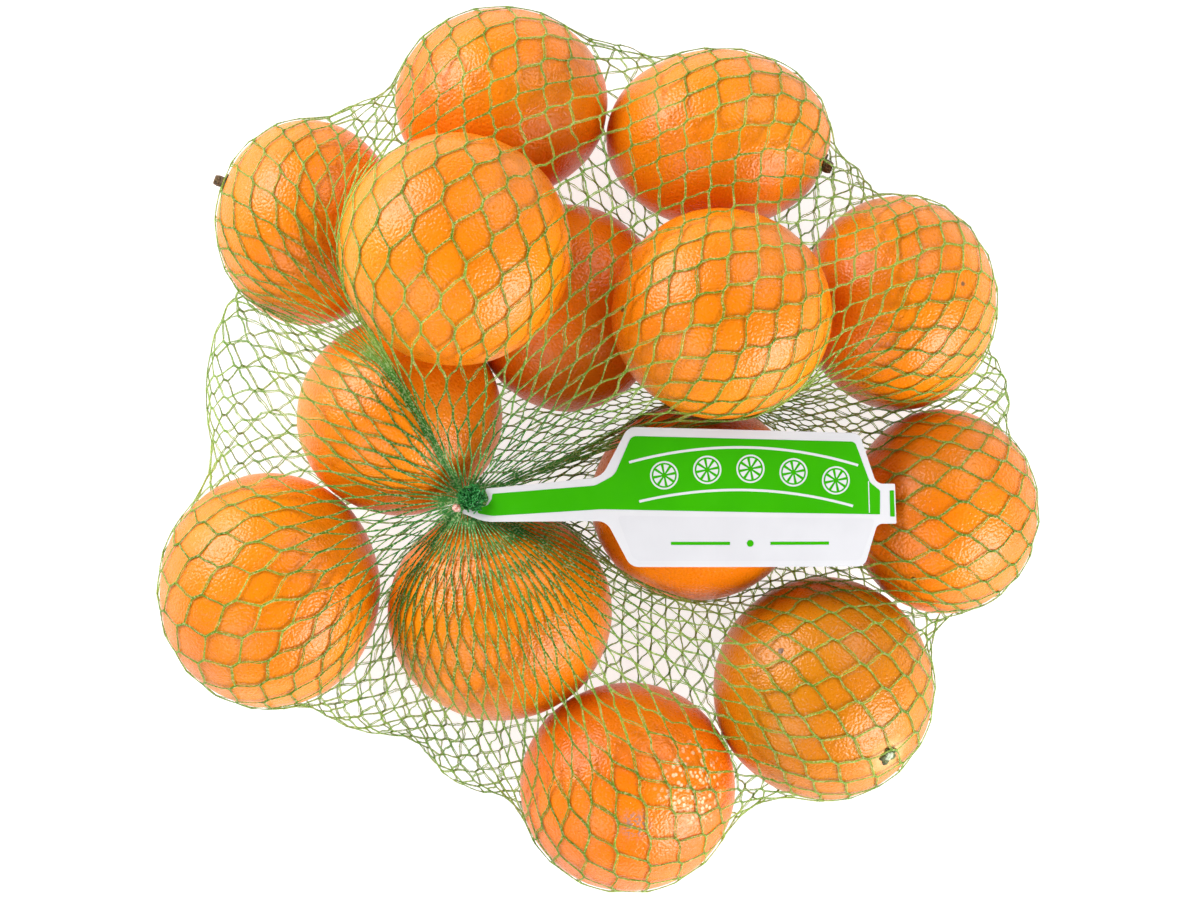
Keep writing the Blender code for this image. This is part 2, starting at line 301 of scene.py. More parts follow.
class Nodes:
    """Adds shader nodes to a material and links them by short calls."""

    def __init__(self, name):
        self.material = bpy.data.materials.new(name)
        self.material.use_nodes = True
        self.tree = self.material.node_tree
        self.shader = self.tree.nodes["Principled BSDF"]
        self.output = self.tree.nodes["Material Output"]

    def add(self, kind, inputs=None, **settings):
        node = self.tree.nodes.new(kind)
        for key, value in settings.items():
            setattr(node, key, value)
        for key, value in (inputs or {}).items():
            self.feed(node.inputs[key], value)
        return node

    def feed(self, socket, value):
        if isinstance(value, bpy.types.NodeSocket):
            self.tree.links.new(value, socket)
        elif isinstance(value, tuple) and len(value) == 3 and socket.type == "RGBA":
            socket.default_value = (*value, 1.0)
        else:
            socket.default_value = value

    def place(self):
        return self.add("ShaderNodeTexCoord").outputs["Object"]

    def product(self, first, second, plus=0.0):
        """First times second, plus a third value."""
        inputs = {0: first, 1: second, 2: plus}
        return self.add("ShaderNodeMath", inputs, operation="MULTIPLY_ADD").outputs[0]

    def quotient(self, first, second):
        return self.add("ShaderNodeMath", {0: first, 1: second}, operation="DIVIDE").outputs[0]

    def ranged(self, value, low, high, to_low=0.0, to_high=1.0):
        """Maps a range smoothly onto another."""
        node = self.add(
            "ShaderNodeMapRange",
            {"Value": value, "From Min": low, "From Max": high, "To Min": to_low, "To Max": to_high},
            interpolation_type="SMOOTHSTEP",
        )
        return node.outputs["Result"]

    def noise(self, scale, detail=2.0):
        inputs = {"Vector": self.place(), "Scale": scale, "Detail": detail, "Roughness": 0.5}
        return self.add("ShaderNodeTexNoise", inputs).outputs["Fac"]

    def cells(self, scale):
        """Distance to the middle of the nearest of scattered cells."""
        inputs = {"Vector": self.place(), "Scale": scale, "Randomness": 1.0}
        return self.add("ShaderNodeTexVoronoi", inputs, feature="F1").outputs["Distance"]

    def blend(self, share, first, second):
        node = self.add("ShaderNodeMix", data_type="RGBA", clamp_factor=True)
        self.feed(node.inputs["Factor"], share)
        self.feed(node.inputs[6], first)
        self.feed(node.inputs[7], second)
        return node.outputs[2]

    def distance_to(self, point):
        node = self.add("ShaderNodeVectorMath", {0: self.place()}, operation="DISTANCE")
        node.inputs[1].default_value = tuple(point)
        return node.outputs["Value"]

    def bump(self, height, distance, strength=1.0):
        inputs = {"Height": height, "Distance": distance, "Strength": strength}
        return self.add("ShaderNodeBump", inputs).outputs["Normal"]

    def set(self, **values):
        """Feeds sockets of the shader, named with underscores for spaces."""
        for key, value in values.items():
            self.feed(self.shader.inputs[key.replace("_", " ")], value)
        return self.material

    def mottled(self, scale, detail, spread, dark, light, roughness, depth):
        """A dull finish mottled between two colours, with relief from the same pattern."""
        pattern = self.ranged(self.noise(scale, detail), 0.5 - spread, 0.5 + spread)
        return self.set(
            Base_Color=self.blend(pattern, dark, light),
            Roughness=self.ranged(pattern, 0.0, 1.0, *roughness),
            Normal=self.bump(pattern, depth),
        )


# The oranges.

# Where each kind of mark starts to fade and ends, as shares of its edge, and how much it covers; the marks
# include a painted highlight and a painted shade.
MARK_FADES = {
    "spot": (0.75, 1.05, 0.9),
    # This kind is a soft pale patch, used for a painted highlight.
    "ring": (0.35, 1.15, 0.75),
    # smear_and_shade: greyish dirt on orange_front, painted shade on orange_front_middle.
    "smear_and_shade": (0.3, 1.2, 0.95),
    "speckled": (0.6, 1.25, 1.0),
}
FLECK_SPACING = 0.0016
COBBLE_SHARE = 3.0
STEM_DENT = 0.04
STEM_DENT_WIDTH = 0.17
STEM_FURROWS = 9.0
FAR_DENT = 0.012
FAR_DENT_WIDTH = 0.12


def outside(points, clearance):
    """Moves every point that is inside a slack pocket or an orange out of it."""
    forms = [(np.array(middle), np.array(half)) for middle, half in SLACK_POCKETS]
    forms += [(orange.middle, np.array(orange.half)) for orange in ORANGES]
    for middle, half in forms:
        reach = half + clearance
        near = np.flatnonzero(
            (np.abs(points[:, 0] - middle[0]) < reach[0]) & (np.abs(points[:, 1] - middle[1]) < reach[1])
        )
        away = (points[near] - middle) / reach
        distance = np.sqrt((away * away).sum(axis=1))
        inside = distance < 1.0
        points[near[inside]] = middle + away[inside] / distance[inside, None] * reach
    return points


def on_peel(orange, way):
    """The point of an orange's surface that lies a given way from its middle."""
    return orange.middle + np.array(orange.half) * unit(way)


def peel_material(orange, settings):
    """Glossy, finely pored peel with its own tone and its marks, among them a painted highlight and a painted
    shade.
    """
    nodes = Nodes(orange.name + "_peel")
    pits = nodes.ranged(nodes.cells(1.0 / settings.pore_spacing), 0.04, 0.3)
    grain = nodes.noise(1.0 / settings.cobble_size, detail=0.0)
    tone = nodes.noise(30.0, detail=2.0)
    yellow, deep = orange.yellow, orange.deep
    bright = (0.89 - 0.28 * yellow, 0.255 - 0.05 * deep - 0.045 * yellow, 0.001)
    dark = (0.84 - 0.28 * yellow, 0.205 - 0.05 * deep - 0.035 * yellow, 0.001)
    pore_tone = (0.74 - 0.1 * yellow, 0.14, 0.001)
    colour = nodes.blend(nodes.ranged(tone, 0.3, 0.7), dark, bright)
    colour = nodes.blend(nodes.ranged(pits, 0.0, 0.8, 0.22, 0.0), colour, pore_tone)
    roughness = nodes.ranged(grain, 0.3, 0.7, 0.27, 0.35)
    # Each mark's colour is painted over the peel; among them are a painted highlight and a painted shade.
    for mark in orange.marks:
        near = nodes.distance_to(on_peel(orange, mark.way))
        edge = nodes.product(nodes.noise(420.0, detail=3.0), mark.radius * 0.9, mark.radius * 0.55)
        share = nodes.ranged(nodes.quotient(near, edge), *MARK_FADES[mark.kind], 0.0)
        # The grain breaks up both the greyish dirt and the painted shade of this kind.
        if mark.kind == "smear_and_shade":
            share = nodes.product(share, nodes.ranged(grain, 0.35, 0.6))
        elif mark.kind == "speckled":
            flecks = nodes.ranged(nodes.cells(1.0 / FLECK_SPACING), 0.26, 0.48, 0.9, 0.0)
            share = nodes.product(share, flecks)
        colour = nodes.blend(share, colour, mark.colour)
    pored = nodes.bump(nodes.product(grain, COBBLE_SHARE, pits), settings.pore_depth)
    return nodes.set(Base_Color=colour, Roughness=roughness, Normal=pored, IOR=1.45)


def orange_mesh(orange, settings, seed):
    """An uneven ellipsoid, drawn in at the stem end and slightly at the other end."""
    shape = bmesh.new()
    bmesh.ops.create_icosphere(shape, subdivisions=settings.subdivisions, radius=1.0)
    stem = Vector(unit(orange.stem))
    middle, half = Vector(orange.middle), Vector(orange.half)
    shift = Vector((seed * 3.1, seed * 1.7, seed * 2.3))
    for vertex in shape.verts:
        way = vertex.co.normalized()
        lump = noise.noise(way * 1.5 + shift)
        ripple = noise.noise(way * 5.0 - shift)
        to_stem = way.angle(stem)
        furrow = 0.5 + 0.5 * math.cos(STEM_FURROWS * math.atan2(way.cross(stem).z, way.y) + seed)
        dent = STEM_DENT * math.exp(-((to_stem / STEM_DENT_WIDTH) ** 2)) * (0.8 + 0.4 * furrow)
        far_dent = FAR_DENT * math.exp(-(((math.pi - to_stem) / FAR_DENT_WIDTH) ** 2))
        size = 1.0 + settings.lumps * (lump - 0.45) + settings.ripples * (ripple - 0.5) - dent - far_dent
        vertex.co = middle + Vector((way.x * half.x, way.y * half.y, way.z * half.z)) * min(size, 1.0)
    return mesh_from(shape, orange.name)


class OBJECT_OT_net_oranges_fruit(bpy.types.Operator):
    """Make the fourteen oranges"""

    bl_idname = "object.net_oranges_fruit"
    bl_label = "Oranges"

    def execute(self, context):
        settings = context.scene.net_oranges_peel
        for number, orange in enumerate(ORANGES, start=1):
            mesh = orange_mesh(orange, settings, number)
            finished_piece(orange.name, mesh, peel_material(orange, settings), "orange_peel", "filled_net")
        return {"FINISHED"}


# Stem ends.


# How deep the stem end is sunk, as a share of the radius.
STEM_SINK = 0.046
SEPALS = 5


def stem_materials():
    """Materials of the star round the stem, of a dry stub and of a pale button of pith."""
    star = Nodes("stem_star").mottled(
        900.0, 4.0, 0.15, (0.055, 0.06, 0.014), (0.2, 0.24, 0.07), (0.55, 0.8), 0.0003
    )
    stub = Nodes("stem_stub").mottled(
        1500.0, 4.0, 0.2, (0.05, 0.028, 0.012), (0.26, 0.17, 0.08), (0.6, 0.85), 0.0003
    )
    button = Nodes("stem_button").mottled(
        1100.0, 3.0, 0.2, (0.28, 0.34, 0.2), (0.62, 0.66, 0.5), (0.5, 0.7), 0.0002
    )
    return star, stub, button


def turned_to(shape, orange, height):
    """Sets a bmesh made round the Z axis onto the stem end of an orange, sunk in its dent."""
    stem = unit(orange.stem)
    outward = unit(stem / np.array(orange.half))
    foot = Vector(orange.middle + np.array(orange.half) * stem * (1.0 - STEM_SINK)) + Vector(outward) * height
    turn = Vector(outward).to_track_quat("Z", "Y").to_matrix().to_4x4()
    bmesh.ops.rotate(shape, verts=shape.verts[:], cent=(0.0, 0.0, 0.0), matrix=turn.to_3x3())
    bmesh.ops.translate(shape, verts=shape.verts[:], vec=foot)


def star_mesh(orange, seed):
    """Five short ragged sepals round the stem end, lying on the peel."""
    chance = random.Random(seed)
    shape = bmesh.new()
    bmesh.ops.create_circle(shape, cap_ends=True, cap_tris=False, segments=60, radius=1.0)
    bmesh.ops.inset_region(shape, faces=shape.faces[:], thickness=0.42)
    bmesh.ops.inset_region(shape, faces=[f for f in shape.faces if len(f.verts) > 4], thickness=0.25)
    wobble = [chance.uniform(0.82, 1.15) for _ in range(SEPALS)]
    for vertex in shape.verts:
        angle = math.atan2(vertex.co.y, vertex.co.x)
        spread = math.hypot(vertex.co.x, vertex.co.y)
        lobe = int(angle / math.tau * SEPALS + (SEPALS + 0.5)) % SEPALS
        reach = 0.0017 + 0.0015 * wobble[lobe] * abs(math.cos(SEPALS / 2 * angle)) ** 0.7
        reach *= 1.0 + 0.1 * chance.uniform(-1.0, 1.0) * (spread > 0.9)
        lift = 0.00055 - 0.00035 * spread + 0.00012 * math.sin(7.0 * angle)
        vertex.co = (reach * spread * math.cos(angle), reach * spread * math.sin(angle), lift)
    bmesh.ops.solidify(shape, geom=shape.faces[:], thickness=0.00045)
    turned_to(shape, orange, 0.0008)
    return mesh_from(shape, orange.name + "_star")


def stub_mesh(orange, radius, length, seed):
    """A short ragged stub or button of stem."""
    chance = random.Random(seed)
    shape = bmesh.new()
    bmesh.ops.create_uvsphere(shape, u_segments=24, v_segments=14, radius=1.0)
    for vertex in shape.verts:
        angle = math.atan2(vertex.co.y, vertex.co.x)
        rough = 1.0 + 0.1 * math.sin(5.0 * angle + seed) + 0.06 * chance.uniform(-1.0, 1.0)
        height = max(min(vertex.co.z, 0.55), -0.9) * length
        vertex.co = (vertex.co.x * radius * rough, vertex.co.y * radius * rough, height)
    turned_to(shape, orange, length * 0.5)
    return mesh_from(shape, orange.name + "_stub")


class OBJECT_OT_net_oranges_stems(bpy.types.Operator):
    """Make the star and the stub at the stem end of each orange"""

    bl_idname = "object.net_oranges_stems"
    bl_label = "Stem ends"

    def execute(self, context):
        star, stub, button = stem_materials()
        sizes = {
            "nub": (0.0019, 0.0034, stub),
            "stub": (0.0016, 0.004, stub),
            "button": (0.0016, 0.0013, button),
        }
        for number, orange in enumerate(ORANGES, start=1):
            mesh = star_mesh(orange, number)
            finished_piece(orange.name + "_star", mesh, star, "orange_peel", "filled_net")
            radius, length, material = sizes[orange.stem_kind]
            mesh = stub_mesh(orange, radius, length, number)
            finished_piece(orange.name + "_stub", mesh, material, "orange_peel", "filled_net")
        return {"FINISHED"}


# The label's own surface, which also presses on the net.


def rounded(corners, arc_steps=8):
    """Points of a closed outline whose corners (x, y, radius) are rounded by arcs."""
    points = []
    for at, (x, y, radius) in enumerate(corners):
        here = np.array([x, y])
        before = unit(np.array(corners[at - 1][:2]) - here)
        after = unit(np.array(corners[(at + 1) % len(corners)][:2]) - here)
        half_angle = 0.5 * math.acos(float(np.clip(before @ after, -1.0, 1.0)))
        centre = here + unit(before + after) * radius / math.sin(half_angle)
        reach = radius / math.tan(half_angle)
        start = here + before * reach - centre
        end = here + after * reach - centre
        sweep = math.atan2(start[0] * end[1] - start[1] * end[0], start @ end)
        for turn in np.linspace(0.0, sweep, arc_steps + 1):
            cos_turn, sin_turn = math.cos(turn), math.sin(turn)
            x_turned = centre[0] + start[0] * cos_turn - start[1] * sin_turn
            y_turned = centre[1] + start[0] * sin_turn + start[1] * cos_turn
            points.append((x_turned, y_turned))
    return np.array(points)


def label_height(x, y):
    """Height of the label's underside over the point (x, y) of its own plane."""
    towards_strap = np.clip((LABEL_CREST - x) / (LABEL_CREST - STRAP_LEFT), 0.0, 1.2)
    towards_tail = np.clip((x - LABEL_CREST) / (TAIL_RIGHT - LABEL_CREST), 0.0, 1.2)
    dip = LABEL_STRAP_DIP * towards_strap**2 + LABEL_TAIL_DIP * towards_tail**2
    return LABEL_TOP_HEIGHT - dip + LABEL_TILT * y * (1.0 - np.clip(towards_strap, 0.0, 1.0))


def inside_outline(points, outline):
    """True for each point (x, y) inside the closed outline."""
    inside = np.zeros(len(points), dtype=bool)
    for (ax, ay), (bx, by) in zip(outline, np.roll(outline, -1, axis=0)):
        if ay == by:
            continue
        crosses = (ay > points[:, 1]) != (by > points[:, 1])
        inside ^= crosses & (points[:, 0] < ax + (bx - ax) * (points[:, 1] - ay) / (by - ay))
    return inside


def under_label(points, outline, clearance):
    """Presses points down where the label lies on them."""
    flat = points[:, :2] - LABEL_MIDDLE
    low, high = outline.min(axis=0), outline.max(axis=0)
    lowest = label_height(flat[:, 0], flat[:, 1]) - clearance
    near = (flat > low).all(axis=1) & (flat < high).all(axis=1) & (points[:, 2] > 0.03)
    near = np.flatnonzero(near & (points[:, 2] > lowest))
    covered = near[inside_outline(flat[near], outline)]
    points[covered, 2] = lowest[covered]
    return points


def pressed_outline():
    """The label's outline grown by the margin within which the net is pressed down."""
    outline = rounded(LABEL_CORNERS)
    along = np.roll(outline, -1, axis=0) - np.roll(outline, 1, axis=0)
    along /= np.linalg.norm(along, axis=1)[:, None] + 1e-12
    return outline + LABEL_PRESS_MARGIN * np.stack([-along[:, 1], along[:, 0]], axis=1)


# The net.

NET_MOMENTUM = 0.8
NET_PULL = 0.35
NET_SAG = 0.6
NET_LIMIT = 0.3
LEAST_TENSION = 1e-9
UNDER_DRAW = 0.8
UPPER_ROWS = (3, 11)
UPPER_EASE = 0.15
LOWER_DRAW = 7.0
LOWER_SHARE = (0.62, 0.95)
UNDER_HEIGHT = 0.008
OPEN_SPACING = 0.006
FOLD_END = np.array((-0.0775, 0.0545))
FOLD_REACH = 0.01
FOLD_DRAW = 0.022
NET_FLOOR = 0.0004
NET_CLEARANCE = 0.00025
FIBRE_LIFT = 0.00012
KNOT_CROSSING = 0.00018
KNOT_PARTING = 0.00028
FIBRES_PER_YARN = 3
STRAND_SLACK = 0.00018
TWIST_PER_STEP = (0.1, 1.1)
NECK_NARROWING = 0.55
LABEL_REST = 0.0003


def slack_lattice(settings):
    """Two points for each knot, (rows, columns, 2, 3), on a swollen skin round the fruit."""
    rows, columns = settings.rows, settings.columns
    row, column, end = np.meshgrid(np.arange(rows), np.arange(columns), (-1, 1), indexing="ij")
    turn = 2.0 * math.pi * (column + 0.5 * (row % 2)) / columns
    fall = math.pi * (row + 0.5 + 0.18 * end) / rows
    level, spread = np.cos(fall), np.sin(fall)
    draw = np.abs(level)[..., None] ** 3
    gather = np.where(level[..., None] > 0.0, GATHER, UNDER_GATHER)
    points = np.stack(
        [
            SLACK_SKIN[0] * spread * np.cos(turn),
            SLACK_SKIN[1] * spread * np.sin(turn),
            SLACK_SKIN[2] * (1.0 + level),
        ],
        axis=-1,
    )
    points[..., :2] += (gather * draw)[..., :2]
    return points


def lattice_pairs(settings, chance):
    """Pairs of points that a knot or a strand joins, with the tension of each."""
    rows, columns = settings.rows, settings.columns
    index = np.arange(rows * columns * 2).reshape(rows, columns, 2)
    pairs = [index.reshape(-1, 2)]
    tensions = [np.full(rows * columns, settings.knot_tension)]
    column = np.arange(columns)
    phase = 2.0 * math.pi * column / columns
    for row in range(rows - 1):
        bunched = 1.0 + np.interp(row / rows, LOWER_SHARE, (0.0, LOWER_DRAW))
        bunched *= np.interp(row, UPPER_ROWS, (UPPER_EASE, 1.0))
        lean = settings.skew * (
            np.sin(3.0 * phase + 0.1 * row + 0.5) + 0.7 * np.sin(7.0 * phase - 0.16 * row + 2.0)
        )
        for side in (-1, 1):
            step = (side - 1) // 2 + row % 2
            below = index[row + 1, (column + step) % columns, 0]
            pairs.append(np.stack([index[row, :, 1], below], axis=1))
            uneven = chance.normal(0.0, settings.unevenness, columns)
            tensions.append(bunched * np.exp(side * lean + uneven))
    return np.concatenate(pairs), np.concatenate(tensions)


def longest_lengths(settings, chance):
    """The most that each knot and strand stretches to, in the order of lattice_pairs."""
    knots = settings.rows * settings.columns
    strands = (settings.rows - 1) * settings.columns * 2
    longest = np.repeat([settings.knot_length, settings.strand_length], [knots, strands])
    return longest * np.exp(chance.normal(0.0, settings.length_spread, knots + strands))


def neck_ring(points, place, radius):
    """Puts points on the ring of a gathered neck, each the way that it is pulled."""
    angle = np.arctan2(points[:, 1] - place[1], points[:, 0] - place[0])
    ring = np.stack([np.cos(angle), np.sin(angle), np.zeros_like(angle)], axis=1)
    return place + radius * ring


def into_fold(points):
    """Draws the points near the crease that runs from the gather between two oranges into it."""
    run = FOLD_END - GATHER[:2]
    way = unit(run)
    across = np.array((-way[1], way[0]))
    flat = points[:, :2] - GATHER[:2]
    along = flat @ way / np.linalg.norm(run)
    aside = flat @ across
    share = FOLD_DRAW * np.exp(-((aside / FOLD_REACH) ** 2)) * (points[:, 2] > 0.04)
    share *= np.clip(3.0 * along, 0.0, 1.0) * np.clip(3.0 * (1.0 - along), 0.0, 1.0)
    points[:, :2] -= (share * aside)[:, None] * across


def drawn_lattice(settings, chance):
    """The lattice of knots drawn in round the fruit, as a skin under tension."""
    shape = slack_lattice(settings)
    points = shape.reshape(-1, 3)
    pairs, tension = lattice_pairs(settings, chance)
    near, far = np.concatenate([pairs, pairs[:, ::-1]]).T
    stiffness = np.concatenate([tension, tension])
    longest = np.tile(longest_lengths(settings, chance), 2)
    pressed = pressed_outline()
    per_row = settings.columns * 2
    top, bottom = slice(0, per_row, 2), slice(len(points) - per_row + 1, len(points), 2)
    before = points.copy()
    for round_number in range(settings.rounds):
        length = np.linalg.norm(points[near] - points[far], axis=1)
        height = points[near, 2] + points[far, 2]
        pull = stiffness * length * (1.0 + UNDER_DRAW * np.exp(-height / (2.0 * UNDER_HEIGHT)))
        pull += LEAST_TENSION
        sums = [np.bincount(near, pull * points[far, axis]) for axis in range(3)]
        mean = np.stack(sums, axis=1) / np.bincount(near, pull)[:, None]
        carried = NET_MOMENTUM * (points - before)
        before = points.copy()
        points += NET_PULL * (mean - points) + carried
        points[:, 2] -= NET_SAG * (1.0 - NET_MOMENTUM) * np.bincount(near, length**2) / np.bincount(near)
        away = points[far] - points[near]
        length = np.linalg.norm(away, axis=1)
        excess = (length - longest).clip(min=0.0) / length * NET_LIMIT
        points += np.stack([np.bincount(near, excess * away[:, axis]) for axis in range(3)], axis=1)
        into_fold(points)
        outside(points, NET_CLEARANCE)
        points[:, 2] = points[:, 2].clip(min=NET_FLOOR)
        under_label(points, pressed, LABEL_PRESS)
        points[top] = neck_ring(points[top], GATHER, NECK_RADIUS)
        points[bottom] = neck_ring(points[bottom], UNDER_GATHER, UNDER_NECK_RADIUS)
    return points.reshape(shape.shape)


def lattice_normals(lattice):
    """Outward directions at the knots, (rows, columns, 3)."""
    course = np.roll(lattice, -1, axis=1) - np.roll(lattice, 1, axis=1)
    course = course.mean(axis=2)
    middles = lattice.mean(axis=2)
    wale = np.gradient(middles, axis=0)
    outward = np.cross(wale, course)
    outward /= np.linalg.norm(outward, axis=-1)[..., None] + 1e-12
    return outward


def yarn_paths(lattice, settings, chance):
    """Centre lines, outward directions and parting of all yarns, (yarns, points, ...).

    A yarn keeps slanting to one side, from the upper gather to the lower one, and at each knot
    it crosses the yarn that slants the other way.
    """
    rows, columns = settings.rows, settings.columns
    outward = lattice_normals(lattice)
    middles = lattice.mean(axis=2)
    spacing = np.linalg.norm(np.roll(middles, -1, axis=1) - middles, axis=-1)
    openness = np.clip(spacing / OPEN_SPACING, 0.25, 1.0)
    row = np.arange(rows)
    start = np.arange(columns)[:, None]
    lines, normals, partings = [], [], []
    for side in (-1, 1):
        drift = (row + 1) // 2 if side < 0 else row // 2
        column = (start + side * drift) % columns
        upper, lower = lattice[row, column, 0], lattice[row, column, 1]
        normal = outward[row, column]
        next_upper = np.concatenate([upper[:, 1:], lower[:, -1:]], axis=1)
        next_normal = np.concatenate([normal[:, 1:], normal[:, -1:]], axis=1)
        along = next_upper - lower
        along /= np.linalg.norm(along, axis=-1)[..., None] + 1e-9
        across = np.cross(normal, along)
        room = openness[row, column]
        slack = chance.normal(0.0, STRAND_SLACK, (2, *upper.shape[:2], 1)) * room[..., None]
        crossing = KNOT_CROSSING * side * room[..., None] * across
        points = [
            upper - crossing,
            lower + crossing,
            lower + (next_upper - lower) / 3.0 + slack[0] * across,
            lower + (next_upper - lower) / 1.5 + slack[1] * across,
        ]
        knot_part = KNOT_PARTING * room
        strand_part = settings.parting * room * chance.uniform(0.25, 1.25, upper.shape[:2])
        lines.append(np.stack(points, axis=2).reshape(columns, rows * 4, 3))
        between = [(2 * normal + next_normal) / 3, (normal + 2 * next_normal) / 3]
        normals.append(np.stack([normal, normal, *between], axis=2).reshape(columns, rows * 4, 3))
        parts = [knot_part, knot_part, strand_part, strand_part]
        partings.append(np.stack(parts, axis=2).reshape(columns, rows * 4))
    return np.concatenate(lines), np.concatenate(normals), np.concatenate(partings)


def fibre_paths(lattice, settings, chance):
    """The fibres of each yarn, twisting round each other and parting between knots."""
    lines, normals, partings = yarn_paths(lattice, settings, chance)
    along = np.gradient(lines, axis=1)
    along /= np.linalg.norm(along, axis=-1)[..., None] + 1e-12
    across = np.cross(normals, along)
    count, steps = lines.shape[:2]
    twist = np.cumsum(chance.uniform(*TWIST_PER_STEP, (count, steps)), axis=1)
    twist += chance.uniform(0, 6.28, (count, 1))
    fibres = []
    for fibre in range(FIBRES_PER_YARN):
        angle = (twist + fibre * 2.0 * math.pi / FIBRES_PER_YARN)[..., None]
        spread = partings[..., None] * (np.cos(angle) * across + 0.45 * np.sin(angle) * normals)
        fibres.append(lines + normals * FIBRE_LIFT + spread)
    fibres = np.stack(fibres, axis=1).reshape(-1, steps, 3)
    flat = outside(fibres.reshape(-1, 3), NET_CLEARANCE)
    flat[:, 2] = flat[:, 2].clip(min=settings.fibre_thickness * 0.8)
    flat = under_label(flat, rounded(LABEL_CORNERS), LABEL_REST)
    return with_ends(flat.reshape(-1, steps, 3), chance)


def with_ends(fibres, chance):
    """Carries each fibre up into the tuft and in to the middle of the lower gather."""
    count = len(fibres)
    up = GATHER + (fibres[:, 0] - GATHER) * NECK_NARROWING
    up[:, 2] = GATHER[2] + chance.uniform(0.0012, 0.003, count)
    centre = UNDER_GATHER + chance.normal(0.0, 0.0007, (count, 3))
    centre[:, 2] = chance.uniform(0.0003, 0.0014, count)
    return np.concatenate([up[:, None], fibres, centre[:, None]], axis=1)


def fibre_section(width, thickness):
    """The three-cornered section of a flat fibre, as a closed curve."""
    curve = bpy.data.curves.new("fibre_section", "CURVE")
    curve.dimensions = "2D"
    spline = curve.splines.new("POLY")
    spline.points.add(2)
    corners = ((width, 0.0), (-width, thickness), (-width, -thickness))
    for point, (x, y) in zip(spline.points, corners):
        point.co = (x / 2.0, y / 2.0, 0.0, 1.0)
    spline.use_cyclic_u = True
    return linked("fibre_section", curve)


def fibre_mesh(name, fibres, width, thickness, chance):
    """A mesh of flat fibres along the given lines, each turning slowly about its own line."""
    section = fibre_section(width, thickness)
    curve = bpy.data.curves.new(name, "CURVE")
    curve.dimensions = "3D"
    curve.bevel_mode = "OBJECT"
    curve.bevel_object = section
    curve.use_fill_caps = True
    curve.twist_mode = "MINIMUM"
    for line in fibres:
        spline = curve.splines.new("POLY")
        spline.points.add(len(line) - 1)
        spline.points.foreach_set("co", np.column_stack([line, np.ones(len(line))]).ravel())
        turn = np.cumsum(chance.normal(0.0, 0.5, len(line))) + chance.uniform(0.0, math.pi)
        spline.points.foreach_set("tilt", turn)
        spline.points.foreach_set("radius", chance.uniform(0.85, 1.15, len(line)))
    source = linked(name, curve)
    graph = bpy.context.evaluated_depsgraph_get()
    mesh = bpy.data.meshes.new_from_object(source.evaluated_get(graph))
    bpy.data.objects.remove(source, do_unlink=True)
    bpy.data.objects.remove(section, do_unlink=True)
    bpy.data.curves.remove(curve)
    mesh.shade_smooth()
    return mesh


def net_material():
    """Semi-clear green yarn: bluer and darker at the gather, yellower and paler further out."""
    nodes = Nodes("net_yarn")
    distance = nodes.distance_to(tuple(GATHER))
    far = nodes.ranged(distance, 0.01, 0.075)
    patches = nodes.ranged(nodes.noise(45.0, detail=0.0), 0.35, 0.65)
    near_colour = nodes.blend(patches, (0.022, 0.31, 0.04), (0.12, 0.5, 0.1))
    far_colour = nodes.blend(patches, (0.225, 0.49, 0.04), (0.415, 0.67, 0.1))
    colour = nodes.blend(far, near_colour, far_colour)
    fibrous = nodes.noise(1500.0, detail=0.0)
    # Pale glints painted into the yarn's colour: painted highlights.
    glints = nodes.ranged(fibrous, 0.52, 0.64, 0.0, 0.65)
    colour = nodes.blend(glints, colour, (0.82, 0.95, 0.48))
    nodes.set(
        Base_Color=colour,
        Roughness=nodes.ranged(fibrous, 0.3, 0.7, 0.5, 0.32),
        Normal=nodes.bump(fibrous, 0.00008),
    )
    through = nodes.add("ShaderNodeBsdfTranslucent", {"Color": colour})
    mixed = nodes.add(
        "ShaderNodeMixShader", {0: 0.4, 1: nodes.shader.outputs[0], 2: through.outputs[0]}
    )
    clear = nodes.add("ShaderNodeBsdfTransparent")
    clearness = nodes.ranged(distance, 0.01, 0.055, 0.16, 0.44)
    seen = nodes.add("ShaderNodeMixShader", {0: clearness, 1: mixed.outputs[0], 2: clear.outputs[0]})
    nodes.feed(nodes.output.inputs["Surface"], seen.outputs[0])
    return nodes.material


class OBJECT_OT_net_oranges_net(bpy.types.Operator):
    """Knit the net and draw it tight round the oranges"""

    bl_idname = "object.net_oranges_net"
    bl_label = "Net"

    parts = 6

    def execute(self, context):
        settings = context.scene.net_oranges_net
        chance = np.random.default_rng(11)
        lattice = drawn_lattice(settings, chance)
        fibres = fibre_paths(lattice, settings, chance)
        material = net_material()
        for number, share in enumerate(np.array_split(fibres, self.parts), start=1):
            name = f"net_yarns_{number}"
            mesh = fibre_mesh(name, share, settings.fibre_width, settings.fibre_thickness, chance)
            finished_piece(name, mesh, material, "net_strands", "filled_net")
        return {"FINISHED"}


# The tuft of cut yarn over the gather.

TUFT_HEIGHT = 0.0086
TUFT_LEAN = np.array((0.003, 0.0011))
TUFT_FIBRES = 420
TUFT_LEVELS = (0.0, 0.25, 0.5, 0.72, 0.9, 1.0)
TUFT_SPREAD = (0.0017, 0.002, 0.0026, 0.0031, 0.0034, 0.0034)
TUFT_CURL = 0.00055
TUFT_SECTION = (0.0005, 0.00028)


def tuft_material():
    """Dark green yarn, denser than in the net."""
    nodes = Nodes("tuft_yarn")
    patches = nodes.ranged(nodes.noise(900.0, detail=3.0), 0.3, 0.7)
    colour = nodes.blend(patches, (0.006, 0.12, 0.02), (0.04, 0.33, 0.07))
    return nodes.set(
        Base_Color=colour,
        Roughness=nodes.ranged(patches, 0.0, 1.0, 0.28, 0.5),
        Normal=nodes.bump(nodes.noise(3000.0, detail=2.0), 0.00005),
    )


